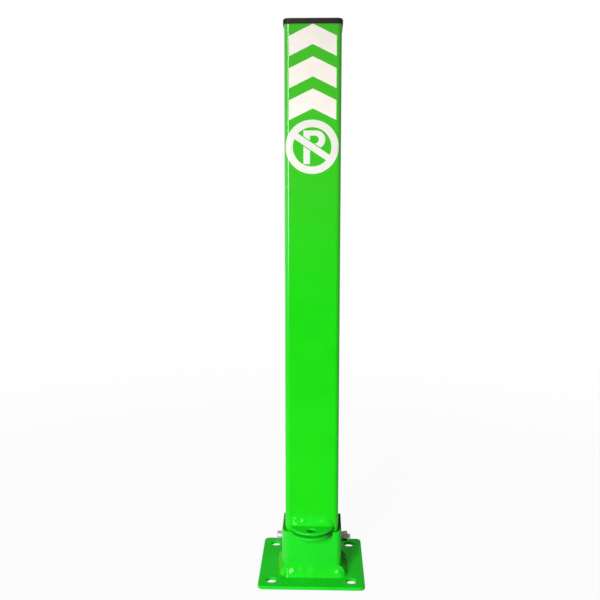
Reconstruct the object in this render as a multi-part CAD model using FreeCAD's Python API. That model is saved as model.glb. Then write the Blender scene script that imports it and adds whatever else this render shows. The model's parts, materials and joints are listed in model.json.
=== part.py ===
# Fold-down parking post: a square steel post hinged in a U-shaped bracket on a bolt-down plate.
# Millimetres, +Z up. The origin is the centre of the plate's underside and the front faces -Y.
# The post folds back towards +Y about a cross bolt that lies along X.

import FreeCAD, Part
import math
import os

from FreeCAD import Vector

# Base plate
plate_side = 120.0
plate_thickness = 4.0
plate_corner_radius = 6.0
plate_edge_chamfer = 0.8
anchor_hole_diameter = 12.0
anchor_hole_inset = 15.0

# Square post
post_side = 60.0
post_wall = 2.5
post_corner_radius = 5.0
post_length = 583.0
post_below_pivot = 9.0

# Hinge bracket, bent from one strip into a U that is open at the back
bracket_wall = 3.0
bracket_inner_bend_radius = 3.5
bracket_rim_above_pivot = 20.5
bracket_behind_pivot = 17.0
bracket_rim_chamfer = 0.6
hinge_side_clearance = 0.7
hinge_swing_clearance = 0.7

# Padlock tabs
tab_radius = 25.0
tab_centre_inset = 3.0
tab_thickness = 3.0
tab_edge_chamfer = 0.7
tab_gap = 3.2
padlock_hole_diameter = 10.0
padlock_hole_reach = 13.0

# Weld runs: reach is the leg on the floor of the joint, rise the leg up its wall
foot_weld_reach = 6.5
foot_weld_rise = 8.0
upper_tab_weld_reach = 3.0
upper_tab_weld_rise = 9.0
lower_tab_weld_reach = 3.5
lower_tab_weld_rise = 3.5
tab_weld_inset = 2.0
weld_crown = 0.12

# Cross bolt, nut and washers
bolt_diameter = 6.0
bolt_head_diameter = 10.0
bolt_head_height = 6.0
bolt_head_chamfer = 0.6
bolt_socket_width = 5.0
bolt_socket_depth = 3.0
bolt_end_past_nut = 3.6
bolt_end_chamfer = 0.8
bolt_hole_clearance = 0.25
nut_width = 10.0
nut_height = 5.0
nut_face_width = 9.5
thread_clearance = 0.05
washer_diameter = 12.0
washer_thickness = 1.2
washer_bore_clearance = 0.2
spring_washer_diameter = 11.0
spring_washer_thickness = 1.6
spring_washer_slit = 0.8
spring_washer_slit_angle = 20.0

# Plastic end cap
cap_overhang = 1.25
cap_height = 5.5
cap_edge_chamfer = 1.2
cap_plug_depth = 18.0
cap_plug_wall = 2.0
cap_plug_gap = 1.5
cap_rib_count = 3
cap_rib_thickness = 1.2
cap_rib_clearance = 0.05

# Reflective chevrons on the front face
film_thickness = 0.3
chevron_margin = 0.25
chevron_rise = 12.0
chevron_band = 20.2
chevron_pitch = 32.4
chevron_top_gap = 0.3

# Hinge geometry: the post's lower corners swing past the plate and the bracket's front wall
post_half = post_side / 2
post_front = -post_half
swing_radius = math.hypot(post_half, post_below_pivot)
pivot_height = plate_thickness + swing_radius + hinge_swing_clearance
post_bottom = pivot_height - post_below_pivot
post_top = post_bottom + post_length
post_bore_radius = max(post_corner_radius - post_wall, 0.5)

bracket_inner_half = post_half + hinge_side_clearance
bracket_outer_half = bracket_inner_half + bracket_wall
bracket_inner_front = -(swing_radius + hinge_swing_clearance)
bracket_front = bracket_inner_front - bracket_wall
bracket_bend_radius = bracket_inner_bend_radius + bracket_wall
rim_height = pivot_height + bracket_rim_above_pivot

lower_tab_bottom = rim_height - tab_thickness
upper_tab_bottom = rim_height + tab_gap
upper_tab_top = upper_tab_bottom + tab_thickness
padlock_hole_y = post_front - padlock_hole_reach

# Bolt stack along X: head, washer, bracket, washer, spring washer, nut
bolt_radius = bolt_diameter / 2
head_washer_x = -bracket_outer_half - washer_thickness
nut_washer_x = bracket_outer_half
spring_washer_x = nut_washer_x + washer_thickness
nut_x = spring_washer_x + spring_washer_thickness
shank_end_x = nut_x + nut_height + bolt_end_past_nut


def block(x_min, x_max, y_min, y_max, z_min, z_max):
    """A box between two corners."""
    return Part.makeBox(x_max - x_min, y_max - y_min, z_max - z_min, Vector(x_min, y_min, z_min))


def upright_edges(shape, y_limit=math.inf):
    """The vertical edges of a shape whose y is below a limit."""
    found = []
    for edge in shape.Edges:
        low, high = edge.Vertexes[0].Point, edge.Vertexes[-1].Point
        upright = abs(low.x - high.x) < 1e-6 and abs(low.y - high.y) < 1e-6
        if upright and low.y < y_limit:
            found.append(edge)
    return found


def level_edges(shape, height):
    """The edges of a shape that lie wholly at one height."""
    return [edge for edge in shape.Edges if all(abs(v.Z - height) < 1e-6 for v in edge.Vertexes)]


def square_prism(half, z_min, z_max, corner_radius):
    """An upright square prism about the Z axis with rounded corners."""
    prism = block(-half, half, -half, half, z_min, z_max)
    return prism.makeFillet(corner_radius, upright_edges(prism))


def rod_x(radius, x_min, x_max):
    """A cylinder on the pivot axis."""
    return Part.makeCylinder(radius, x_max - x_min, Vector(x_min, 0, pivot_height), Vector(1, 0, 0))


def base_plate():
    """The ground plate: rounded corners, eased top edge and four anchor holes."""
    half = plate_side / 2
    plate = square_prism(half, 0, plate_thickness, plate_corner_radius)
    plate = plate.makeChamfer(plate_edge_chamfer, level_edges(plate, plate_thickness))
    hole_offset = half - anchor_hole_inset
    for x in (-hole_offset, hole_offset):
        for y in (-hole_offset, hole_offset):
            plate = plate.cut(Part.makeCylinder(anchor_hole_diameter / 2, plate_thickness, Vector(x, y, 0)))
    return plate


def hinge_bracket():
    """The bent U: front wall and two cheeks, with the bolt's holes in the cheeks."""
    back = bracket_behind_pivot
    outer = block(-bracket_outer_half, bracket_outer_half, bracket_front, back, plate_thickness, rim_height)
    outer = outer.makeFillet(bracket_bend_radius, upright_edges(outer, 0))
    outer = outer.makeChamfer(bracket_rim_chamfer, level_edges(outer, rim_height))
    inner = block(-bracket_inner_half, bracket_inner_half, bracket_inner_front, back, plate_thickness, rim_height)
    inner = inner.makeFillet(bracket_inner_bend_radius, upright_edges(inner, 0))
    hole = rod_x(bolt_radius + bolt_hole_clearance, -bracket_outer_half, bracket_outer_half)
    return outer.cut(inner).cut(hole)


def bead_section(reach, rise):
    """The section of a weld bead: a fillet with a raised crest, in the YZ plane with its root at the origin."""
    root, toe, top = Vector(0, 0, 0), Vector(0, -reach, 0), Vector(0, 0, rise)
    crest = (toe + top) * (0.5 + weld_crown)
    return Part.Face(Part.makePolygon([root, toe, crest, top, root]))


def mirrored_x(shape):
    """The shape reflected from right to left."""
    return shape.mirror(Vector(0, 0, 0), Vector(1, 0, 0))


def foot_bead():
    """The bead's section at the right end of the front wall, with the axis that the bend turns about."""
    bend_x = bracket_outer_half - bracket_bend_radius
    bend_axis = Vector(bend_x, bracket_front + bracket_bend_radius, plate_thickness)
    section = bead_section(foot_weld_reach, foot_weld_rise)
    section.translate(Vector(bend_x, bracket_front, plate_thickness))
    return section, bend_axis


def foot_weld_front():
    """The run along the front wall and half way round both bends."""
    section, bend_axis = foot_bead()
    straight = section.extrude(Vector(-2 * bend_axis.x, 0, 0))
    right_turn = section.revolve(bend_axis, Vector(0, 0, 1), 45)
    return straight.fuse([right_turn, mirrored_x(right_turn)]).removeSplitter()


def foot_weld_right():
    """The run from the middle of the right bend along the right cheek."""
    section, bend_axis = foot_bead()
    section.rotate(bend_axis, Vector(0, 0, 1), 45)
    turn = section.revolve(bend_axis, Vector(0, 0, 1), 45)
    section.rotate(bend_axis, Vector(0, 0, 1), 45)
    straight = section.extrude(Vector(0, bracket_behind_pivot - bend_axis.y, 0))
    return turn.fuse(straight).removeSplitter()


def foot_weld_left():
    """The right cheek's run, reflected."""
    return mirrored_x(foot_weld_right())


def tab_plate(back, bottom):
    """A round tab about a point just behind the post's front face, cut off at the wall it is welded to."""
    centre_y = post_front + tab_centre_inset
    disc = Part.makeCylinder(tab_radius, tab_thickness, Vector(0, centre_y, bottom))
    rims = level_edges(disc, bottom) + level_edges(disc, bottom + tab_thickness)
    disc = disc.makeChamfer(tab_edge_chamfer, rims)
    front_half = block(-tab_radius, tab_radius, centre_y - tab_radius, back, bottom, bottom + tab_thickness)
    hole = Part.makeCylinder(padlock_hole_diameter / 2, tab_thickness, Vector(0, padlock_hole_y, bottom))
    return disc.common(front_half).cut(hole)


def lower_lock_tab():
    """The bracket's tab, flush with the rim."""
    return tab_plate(bracket_front, lower_tab_bottom)


def upper_lock_tab():
    """The post's tab, which stands just above the bracket's one."""
    return tab_plate(post_front, upper_tab_bottom)


def tab_bead(reach, rise):
    """A straight bead with rounded ends, standing on the XY plane against the XZ plane."""
    half_length = tab_radius - tab_weld_inset - reach
    section = bead_section(reach, rise)
    section.translate(Vector(half_length, 0, 0))
    straight = section.extrude(Vector(-2 * half_length, 0, 0))
    right_end = section.revolve(Vector(half_length, 0, 0), Vector(0, 0, 1), 90)
    return straight.fuse([right_end, mirrored_x(right_end)]).removeSplitter()


def upper_tab_weld():
    """The bead on top of the post's tab."""
    bead = tab_bead(upper_tab_weld_reach, upper_tab_weld_rise)
    bead.translate(Vector(0, post_front, upper_tab_top))
    return bead


def lower_tab_weld():
    """The bead under the bracket's tab."""
    bead = tab_bead(lower_tab_weld_reach, lower_tab_weld_rise)
    bead = bead.mirror(Vector(0, 0, 0), Vector(0, 0, 1))
    bead.translate(Vector(0, bracket_front, lower_tab_bottom))
    return bead


def hex_prism_x(width, x_min, length):
    """A hexagonal prism on the pivot axis, with a flat on top, given its width across flats."""
    corner = width / math.sqrt(3)
    angles = [math.radians(60 * step) for step in range(7)]
    points = [Vector(x_min, corner * math.cos(a), pivot_height + corner * math.sin(a)) for a in angles]
    return Part.Face(Part.makePolygon(points)).extrude(Vector(length, 0, 0))


def hinge_bolt():
    """The cap screw: a round head with a hexagon socket, and a shank with a chamfered end."""
    head_end_x = head_washer_x - bolt_head_height
    head = rod_x(bolt_head_diameter / 2, head_end_x, head_washer_x)
    outer_rim = [edge for edge in head.Edges if abs(edge.BoundBox.XMax - head_end_x) < 1e-6]
    head = head.makeChamfer(bolt_head_chamfer, outer_rim)
    socket = hex_prism_x(bolt_socket_width, head_end_x, bolt_socket_depth)
    shank = rod_x(bolt_radius, head_washer_x, shank_end_x)
    tip = [edge for edge in shank.Edges if abs(edge.BoundBox.XMin - shank_end_x) < 1e-6]
    return head.cut(socket).fuse(shank.makeChamfer(bolt_end_chamfer, tip))


def hinge_nut():
    """The hexagon nut, with both faces turned down to round."""
    corner = nut_width / math.sqrt(3)
    face = nut_face_width / 2
    bevel = (corner - face) * math.tan(math.radians(30))
    profile = [(0, 0), (0, face), (bevel, corner), (nut_height - bevel, corner), (nut_height, face), (nut_height, 0)]
    points = [Vector(nut_x + x, 0, pivot_height + r) for x, r in profile + profile[:1]]
    turned = Part.Face(Part.makePolygon(points)).revolve(Vector(0, 0, pivot_height), Vector(1, 0, 0), 360)
    bore = rod_x(bolt_radius + thread_clearance, nut_x, nut_x + nut_height)
    return hex_prism_x(nut_width, nut_x, nut_height).common(turned).cut(bore)


def plain_washer(x_min):
    """A flat ring on the bolt."""
    bore = rod_x(bolt_radius + washer_bore_clearance, x_min, x_min + washer_thickness)
    return rod_x(washer_diameter / 2, x_min, x_min + washer_thickness).cut(bore)


def spring_washer():
    """A split ring on the bolt, with its slit cut aslant."""
    x_max = spring_washer_x + spring_washer_thickness
    bore = rod_x(bolt_radius + washer_bore_clearance, spring_washer_x, x_max)
    ring = rod_x(spring_washer_diameter / 2, spring_washer_x, x_max).cut(bore)
    middle = (spring_washer_x + x_max) / 2
    reach = spring_washer_diameter
    slit = block(-reach, reach, -spring_washer_slit / 2, spring_washer_slit / 2, 0, reach)
    slit.rotate(Vector(0, 0, 0), Vector(0, 0, 1), spring_washer_slit_angle)
    slit.translate(Vector(middle, 0, pivot_height))
    return ring.cut(slit)


def post_tube():
    """The square tube, open at both ends, with the bolt's hole across its foot."""
    outer = square_prism(post_half, post_bottom, post_top, post_corner_radius)
    inner = square_prism(post_half - post_wall, post_bottom, post_top, post_bore_radius)
    hole = rod_x(bolt_radius + bolt_hole_clearance, -post_half, post_half)
    return outer.cut(inner).cut(hole)


def top_cap():
    """The moulded cap: an eased flange on the tube's end and a hollow plug with gripping ribs."""
    flange_top = post_top + cap_height
    flange = square_prism(post_half + cap_overhang, post_top, flange_top, post_corner_radius + cap_overhang)
    flange = flange.makeChamfer(cap_edge_chamfer, level_edges(flange, flange_top))
    bore_half = post_half - post_wall
    plug_half = bore_half - cap_plug_gap
    plug_bottom = post_top - cap_plug_depth
    cap = flange.fuse(square_prism(plug_half, plug_bottom, post_top, post_bore_radius))
    rib_pitch = cap_plug_depth / (cap_rib_count + 1)
    for index in range(cap_rib_count):
        rib_bottom = plug_bottom + rib_pitch * (index + 1) - cap_rib_thickness / 2
        rib_top = rib_bottom + cap_rib_thickness
        cap = cap.fuse(square_prism(bore_half - cap_rib_clearance, rib_bottom, rib_top, post_bore_radius))
    hollow_half = plug_half - cap_plug_wall
    hollow = square_prism(hollow_half, plug_bottom, post_top, post_bore_radius)
    return cap.cut(hollow).removeSplitter()


def chevron(index):
    """One upward chevron of film on the front face, counted from the top."""
    apex = post_top - chevron_top_gap - index * chevron_pitch
    half = post_half - post_corner_radius - chevron_margin
    outline = [
        (0, apex),
        (half, apex - chevron_rise),
        (half, apex - chevron_rise - chevron_band),
        (0, apex - chevron_band),
        (-half, apex - chevron_rise - chevron_band),
        (-half, apex - chevron_rise),
    ]
    points = [Vector(x, post_front, z) for x, z in outline + outline[:1]]
    return Part.Face(Part.makePolygon(points)).extrude(Vector(0, -film_thickness, 0))


def pieces():
    """Every piece of the post by its node's name."""
    return {
        "base_plate": base_plate(),
        "hinge_bracket": hinge_bracket(),
        "foot_weld_front": foot_weld_front(),
        "foot_weld_left": foot_weld_left(),
        "foot_weld_right": foot_weld_right(),
        "lower_lock_tab": lower_lock_tab(),
        "lower_tab_weld": lower_tab_weld(),
        "hinge_bolt": hinge_bolt(),
        "spring_washer": spring_washer(),
        "head_washer": plain_washer(head_washer_x),
        "nut_washer": plain_washer(nut_washer_x),
        "hinge_nut": hinge_nut(),
        "post_tube": post_tube(),
        "upper_lock_tab": upper_lock_tab(),
        "upper_tab_weld": upper_tab_weld(),
        "top_cap": top_cap(),
        "chevron_upper": chevron(0),
        "chevron_middle": chevron(1),
        "chevron_lower": chevron(2),
    }


os.makedirs("parts", exist_ok=True)
for node, shape in pieces().items():
    shape.exportStep(os.path.join("parts", node + ".step"))
    print(f"{node}: {len(shape.Solids)} solid, {shape.Volume:.1f} mm3, valid {shape.isValid()}")
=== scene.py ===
"""Dresses a fold-down parking post and sets it in a plain studio.

It has green powder coat, welds, zinc hardware, a plastic cap and reflective film.
"""

import json
import logging
import math
from collections.abc import Callable, Iterable, Sequence
from dataclasses import dataclass, field, replace
from enum import Enum
from functools import cache

import bmesh
import bpy
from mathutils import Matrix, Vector, noise


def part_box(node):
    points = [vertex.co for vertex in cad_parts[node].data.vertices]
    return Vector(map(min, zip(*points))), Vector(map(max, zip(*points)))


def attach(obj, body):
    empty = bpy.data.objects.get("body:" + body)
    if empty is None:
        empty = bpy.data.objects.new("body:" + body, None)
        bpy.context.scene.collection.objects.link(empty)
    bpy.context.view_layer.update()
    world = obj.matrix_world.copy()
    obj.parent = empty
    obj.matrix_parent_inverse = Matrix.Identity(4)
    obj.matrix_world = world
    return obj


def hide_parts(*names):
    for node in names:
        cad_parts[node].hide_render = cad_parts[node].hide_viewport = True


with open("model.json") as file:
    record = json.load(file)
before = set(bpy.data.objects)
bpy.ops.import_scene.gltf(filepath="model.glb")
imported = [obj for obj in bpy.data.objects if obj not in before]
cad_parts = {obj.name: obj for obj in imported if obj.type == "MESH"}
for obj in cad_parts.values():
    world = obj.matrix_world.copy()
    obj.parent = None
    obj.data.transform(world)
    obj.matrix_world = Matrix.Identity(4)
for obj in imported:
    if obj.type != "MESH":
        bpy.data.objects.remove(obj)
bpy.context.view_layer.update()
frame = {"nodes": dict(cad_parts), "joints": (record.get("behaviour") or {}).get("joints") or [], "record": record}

LOG = logging.getLogger("parking_post")
MM = 0.001
BRACKET_BEND = 6.5 * MM
MITRE_LIMIT = 0.3
Colour = tuple[float, float, float]
Pair = tuple[float, float]
# A Mix node's sockets for colours go by number, because they share their names with other sockets.
MIX_FACTOR, MIX_FIRST, MIX_SECOND, MIX_RESULT = 0, 6, 7, 2


class Body(Enum):
    """The rigid bodies that pieces ride on."""

    BASE = "base"
    POST = "post"


class Axis(Enum):
    """The three directions of the post's frame: left to right, front to back, and up."""

    X = 0
    Y = 1
    Z = 2


# Shader graphs


class Wire:
    """A shader socket that takes part in Python arithmetic by adding Math nodes."""

    def __init__(self, graph: "ShaderGraph", socket: bpy.types.NodeSocket) -> None:
        """Keeps the socket and the graph that its arithmetic goes into."""
        self.graph = graph
        self.socket = socket

    def _math(self, operation: str, *operands: "Wire | float") -> "Wire":
        """Adds a Math node.

        Args:
            operation: the Math node's operation.
            operands: its values or links, in order.

        Returns:
            The node's result.
        """
        return self.graph.wire("ShaderNodeMath", {"operation": operation}, dict(enumerate(operands)))

    def __add__(self, other: "Wire | float") -> "Wire":
        """The sum."""
        return self._math("ADD", self, other)

    def __sub__(self, other: "Wire | float") -> "Wire":
        """The difference."""
        return self._math("SUBTRACT", self, other)

    def __rsub__(self, other: float) -> "Wire":
        """The difference from a number on the left."""
        return self._math("SUBTRACT", other, self)

    def __mul__(self, other: "Wire | float") -> "Wire":
        """The product."""
        return self._math("MULTIPLY", self, other)

    def __truediv__(self, other: "Wire | float") -> "Wire":
        """The quotient."""
        return self._math("DIVIDE", self, other)

    __radd__ = __add__
    __rmul__ = __mul__

    def at_most(self, limit: float) -> "Wire":
        """The smaller of this value and a limit."""
        return self._math("MINIMUM", self, limit)

    def eased(self, low: float, high: float) -> "Wire":
        """Rises smoothly from 0 to 1 as this value goes from low to high."""
        limits = {"Value": self, "From Min": low, "From Max": high}
        return self.graph.wire("ShaderNodeMapRange", {"interpolation_type": "SMOOTHSTEP"}, limits)

    def between(self, first: "Wire | float", second: "Wire | float") -> "Wire":
        """The first value where this one is 0, the second where it is 1, and a mix of them between."""
        return first + (second - first) * self


class ShaderGraph:
    """One node tree, built up from calls."""

    def __init__(self, tree: bpy.types.NodeTree) -> None:
        """Empties the tree and keeps it."""
        self.tree = tree
        tree.nodes.clear()

    def node(self, kind: str, settings: dict | None = None, inputs: dict | None = None) -> bpy.types.Node:
        """Adds a node.

        Args:
            kind: the node's type.
            settings: its properties, which are set before its sockets.
            inputs: a value, colour or link for each socket that isn't left as it is, by name or number.

        Returns:
            The new node.
        """
        node = self.tree.nodes.new(kind)
        for name, value in (settings or {}).items():
            setattr(node, name, value)
        for key, value in (inputs or {}).items():
            socket = node.inputs[key]
            if isinstance(value, Wire):
                self.tree.links.new(value.socket, socket)
            elif socket.type == "RGBA":
                socket.default_value = (*value, 1.0)
            else:
                socket.default_value = value
        return node

    def wire(self, kind: str, settings: dict | None = None, inputs: dict | None = None,
             output: int | str = 0) -> Wire:
        """Adds a node as node() does and returns one of its outputs."""
        return Wire(self, self.node(kind, settings, inputs).outputs[output])

    def place(self) -> Wire:
        """The point on the piece itself, in metres."""
        return self.wire("ShaderNodeTexCoord", output="Object")

    def stretched(self, vector: Wire, scale: tuple[float, float, float]) -> Wire:
        """The vector, scaled by axis."""
        return self.wire("ShaderNodeVectorMath", {"operation": "MULTIPLY"}, {0: vector, 1: scale})

    def length(self, vector: Wire) -> Wire:
        """The length of a vector."""
        return self.wire("ShaderNodeVectorMath", {"operation": "LENGTH"}, {0: vector}, output="Value")

    def along(self, vector: Wire, axis: Axis) -> Wire:
        """One component of a vector."""
        return self.wire("ShaderNodeSeparateXYZ", inputs={0: vector}, output=axis.value)

    def mottle(self, vector: Wire, size: float, detail: float = 2.0) -> Wire:
        """Smooth noise from 0 to 1.

        Args:
            vector: where the noise is read.
            size: the length of its coarsest features.
            detail: how many finer layers it has.

        Returns:
            The noise value.
        """
        return self.wire("ShaderNodeTexNoise", inputs={"Vector": vector, "Scale": 1 / size, "Detail": detail})

    def cells(self, vector: Wire, size: float) -> Wire:
        """The distance to the nearest of a scatter of points that lie about a size apart."""
        return self.wire("ShaderNodeTexVoronoi", inputs={"Vector": vector, "Scale": 1 / size})

    def blend(self, factor: Wire, first: Wire | Colour, second: Wire | Colour) -> Wire:
        """The first colour where the factor is 0 and the second where it is 1."""
        inputs = {MIX_FACTOR: factor, MIX_FIRST: first, MIX_SECOND: second}
        return self.wire("ShaderNodeMix", {"data_type": "RGBA"}, inputs, output=MIX_RESULT)

    def bump(self, height: Wire, depth: float) -> Wire:
        """The surface normal over a relief.

        Args:
            height: the relief, from 0 to 1.
            depth: the relief's real depth.

        Returns:
            The bent normal.
        """
        return self.wire("ShaderNodeBump", inputs={"Height": height, "Distance": depth})

    def surface(self, inputs: dict) -> None:
        """Ends the graph in a Principled surface with these inputs."""
        shader = self.wire("ShaderNodeBsdfPrincipled", inputs=inputs)
        self.node("ShaderNodeOutputMaterial", inputs={"Surface": shader})


# Finishes


@dataclass(frozen=True)
class Finish:
    """A surface finish that belongs to one of the record's material slots."""

    name: str
    slot: str

    def paint(self, graph: ShaderGraph) -> None:
        """Fills a material's graph."""
        raise NotImplementedError


@dataclass(frozen=True)
class PowderCoat(Finish):
    """Glossy powder coat with orange peel and a slow drift of tone."""

    name: str = "green_powder_coat"
    slot: str = "green_powder_coat"
    colour: Colour = (0.013, 0.60, 0.019)
    deep_colour: Colour = (0.011, 0.56, 0.016)
    drift_size: float = 45 * MM
    drift_band: Pair = (0.35, 0.75)
    peel_size: float = 1.7 * MM
    peel_detail: float = 1.0
    peel_depth: float = 0.010 * MM
    dull_size: float = 9 * MM
    dull_detail: float = 3.0
    roughness: float = 0.15
    dull_roughness: float = 0.24
    specular_level: float = 0.06

    def paint(self, graph: ShaderGraph) -> None:
        """Fills a material's graph.

        Args:
            graph: the graph, which is empty.
        """
        place = graph.place()
        peel = graph.mottle(place, self.peel_size, self.peel_detail)
        graph.surface({
            "Base Color": self.tone(graph, place),
            "Roughness": self.polish(graph, place),
            "Specular IOR Level": self.specular_level,
            "Normal": graph.bump(peel, self.peel_depth),
            **self.extras(graph, place),
        })

    def extras(self, graph: ShaderGraph, place: Wire) -> dict:
        """What a special coat adds to the surface's inputs."""
        return {}

    def left_edge(self, graph: ShaderGraph, place: Wire, start: float, end: float) -> Wire:
        """Rises to 1 on the left front edge, as both distances from the middle go from start to end."""
        leftward, forward = (0 - graph.along(place, axis) for axis in (Axis.X, Axis.Y))
        return leftward.eased(start, end) * forward.eased(start, end)

    def tone(self, graph: ShaderGraph, place: Wire) -> Wire:
        """The colour at each place."""
        drift = graph.mottle(place, self.drift_size).eased(*self.drift_band)
        return graph.blend(drift, self.colour, self.deep_colour)

    def polish(self, graph: ShaderGraph, place: Wire) -> Wire:
        """The roughness at each place."""
        dull = graph.mottle(place, self.dull_size, self.dull_detail)
        return dull.between(self.roughness, self.dull_roughness)


@dataclass(frozen=True)
class PostCoat(PowderCoat):
    """Powder coat on the post.

    A painted sheen yellows it towards the top, and it is glossy along the left front edge, most of all half way
    up.
    """

    name: str = "post_green_powder_coat"
    colour: Colour = (0.008, 0.60, 0.003)
    deep_colour: Colour = (0.007, 0.56, 0.002)
    # Painted sheen: a yellowish colour that fades in towards the top of the post, between fade_start and fade_end.
    painted_sheen_colour: Colour = (0.062, 0.56, 0.022)
    fade_start: float = 300 * MM
    fade_end: float = 600 * MM
    edge_start: float = 24.6 * MM
    edge_end: float = 25.4 * MM
    gloss_start: float = 240 * MM
    gloss_end: float = 350 * MM
    low_gloss: float = 0.45
    dulling_start: float = 430 * MM
    dulling_end: float = 550 * MM
    top_gloss: float = 0.38
    specular_level: float = 0.10

    def extras(self, graph: ShaderGraph, place: Wire) -> dict:
        """The clear gloss along the left front edge.

        Args:
            graph: the material's graph.
            place: the point on the post.

        Returns:
            The surface's inputs for the gloss.
        """
        edge = self.left_edge(graph, place, self.edge_start, self.edge_end)
        height = graph.along(place, Axis.Z)
        gain = (1 - self.low_gloss) * height.eased(self.gloss_start, self.gloss_end)
        loss = (1 - self.top_gloss) * height.eased(self.dulling_start, self.dulling_end)
        return {"Coat Weight": edge * (self.low_gloss + gain - loss), "Coat Roughness": self.roughness}

    def tone(self, graph: ShaderGraph, place: Wire) -> Wire:
        """The colour at each place, with the painted sheen fading in towards the top."""
        fade = graph.along(place, Axis.Z).eased(self.fade_start, self.fade_end)
        return graph.blend(fade, super().tone(graph, place), self.painted_sheen_colour)


@dataclass(frozen=True)
class FlowedCoat(PowderCoat):
    """Powder coat that ran thick and glossy over a weld."""

    name: str = "flowed_green_powder_coat"
    colour: Colour = (0.007, 0.60, 0.008)
    deep_colour: Colour = (0.006, 0.56, 0.006)
    roughness: float = 0.12
    dull_roughness: float = 0.20
    specular_level: float = 0.12


@dataclass(frozen=True)
class DustyCoat(PowderCoat):
    """Powder coat that dust and handling have dulled, as on the plate's upper face."""

    name: str = "dusty_green_powder_coat"
    roughness: float = 0.30
    dull_roughness: float = 0.42
    specular_level: float = 0.02


@dataclass(frozen=True)
class PatchyCoat(DustyCoat):
    """Powder coat that turns yellowish in patches along a stretch."""

    name: str = "patchy_green_powder_coat"
    patch_colour: Colour = (0.10, 0.56, 0.010)
    centre_y: float = -3 * MM
    half_length: float = 36 * MM
    patch_size: float = 4 * MM
    patch_band: Pair = (0.1, 0.6)

    def tone(self, graph: ShaderGraph, place: Wire) -> Wire:
        """The colour at each place.

        Args:
            graph: the material's graph.
            place: the point on the weld.

        Returns:
            The plain coat's colour, and the patch colour in patches along the stretch.
        """
        offset = (graph.along(place, Axis.Y) - self.centre_y) / self.half_length
        stretch = 1 - (offset * offset).at_most(1.0)
        patches = graph.mottle(place, self.patch_size).eased(*self.patch_band)
        return graph.blend(stretch * patches, super().tone(graph, place), self.patch_colour)


@dataclass(frozen=True)
class PaintedShadeCoat(PatchyCoat):
    """Dull powder coat with painted shade along a stretch of weld, which makes it dark."""

    name: str = "painted_shade_green_powder_coat"
    # Painted shade: the dark colour along the right weld.
    patch_colour: Colour = (0.030, 0.075, 0.009)
    centre_y: float = 3 * MM
    half_length: float = 38 * MM
    roughness: float = 0.60
    dull_roughness: float = 0.80
    specular_level: float = 0.01


@dataclass(frozen=True)
class BracketCoat(PowderCoat):
    """Powder coat on the bent bracket, which is glossy round the left bend.

    It hardly reached the inside and the cheeks' cut upper rims, which are rough. The rims carry painted shade,
    darkest on the right one. A change at a face takes place between the two depths of the skin.
    """

    name: str = "bracket_green_powder_coat"
    inner_half: float = 0.0
    inner_front: float = 0.0
    rim_height: float = 0.0
    # Painted shade: the dark colours of the cheeks' upper rims, darkest on the right.
    left_rim_shade_colour: Colour = (0.036, 0.37, 0.017)
    right_rim_shade_colour: Colour = (0.015, 0.10, 0.004)
    skin: Pair = (0.1 * MM, 0.5 * MM)
    cheek_start: float = 6 * MM
    sides: Pair = (-10 * MM, 10 * MM)
    inside_roughness: float = 0.95
    specular_level: float = 0.03
    edge_start: float = 23 * MM
    edge_end: float = 30 * MM
    edge_gloss: float = 0.65

    def extras(self, graph: ShaderGraph, place: Wire) -> dict:
        """The clear gloss round the left bend."""
        edge = self.left_edge(graph, place, self.edge_start, self.edge_end)
        return {"Coat Weight": edge * self.edge_gloss, "Coat Roughness": self.roughness}

    def rims(self, graph: ShaderGraph, place: Wire) -> Wire:
        """One on the cheeks' upper rims and nought elsewhere.

        Args:
            graph: the material's graph.
            place: the point on the bracket.

        Returns:
            The mask.
        """
        near, far = self.skin
        upper = graph.along(place, Axis.Z).eased(self.rim_height - far, self.rim_height - near)
        cheek = graph.along(place, Axis.Y).eased(self.inner_front, self.inner_front + self.cheek_start)
        return upper * cheek

    def tone(self, graph: ShaderGraph, place: Wire) -> Wire:
        """The colour at each place.

        Args:
            graph: the material's graph.
            place: the point on the bracket.

        Returns:
            The plain coat's colour, and the painted shade of each rim.
        """
        rightward = graph.along(place, Axis.X).eased(*self.sides)
        rim_shade_colour = graph.blend(rightward, self.left_rim_shade_colour, self.right_rim_shade_colour)
        return graph.blend(self.rims(graph, place), super().tone(graph, place), rim_shade_colour)

    def polish(self, graph: ShaderGraph, place: Wire) -> Wire:
        """The roughness at each place.

        Args:
            graph: the material's graph.
            place: the point on the bracket.

        Returns:
            The plain coat's roughness, and that of the bare places.
        """
        near, far = self.skin
        x, y = graph.along(place, Axis.X), graph.along(place, Axis.Y)
        between_cheeks = 1 - (x * x).eased((self.inner_half + near) ** 2, (self.inner_half + far) ** 2)
        behind_front = y.eased(self.inner_front - far, self.inner_front - near)
        bare = (between_cheeks * behind_front + self.rims(graph, place)).at_most(1.0)
        return bare.between(super().polish(graph, place), self.inside_roughness)


@dataclass(frozen=True)
class TabCoat(PowderCoat):
    """Powder coat on the bracket's tab, with painted shade round its right end."""

    name: str = "tab_green_powder_coat"
    # Painted shade: the tab's right end darkens between these two places along X.
    painted_shade_colour: Colour = (0.040, 0.20, 0.012)
    painted_shade_start: float = 13 * MM
    painted_shade_end: float = 21 * MM

    def tone(self, graph: ShaderGraph, place: Wire) -> Wire:
        """The colour at each place, with the painted shade towards the right end."""
        shading = graph.along(place, Axis.X).eased(self.painted_shade_start, self.painted_shade_end)
        return graph.blend(shading, super().tone(graph, place), self.painted_shade_colour)


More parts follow.
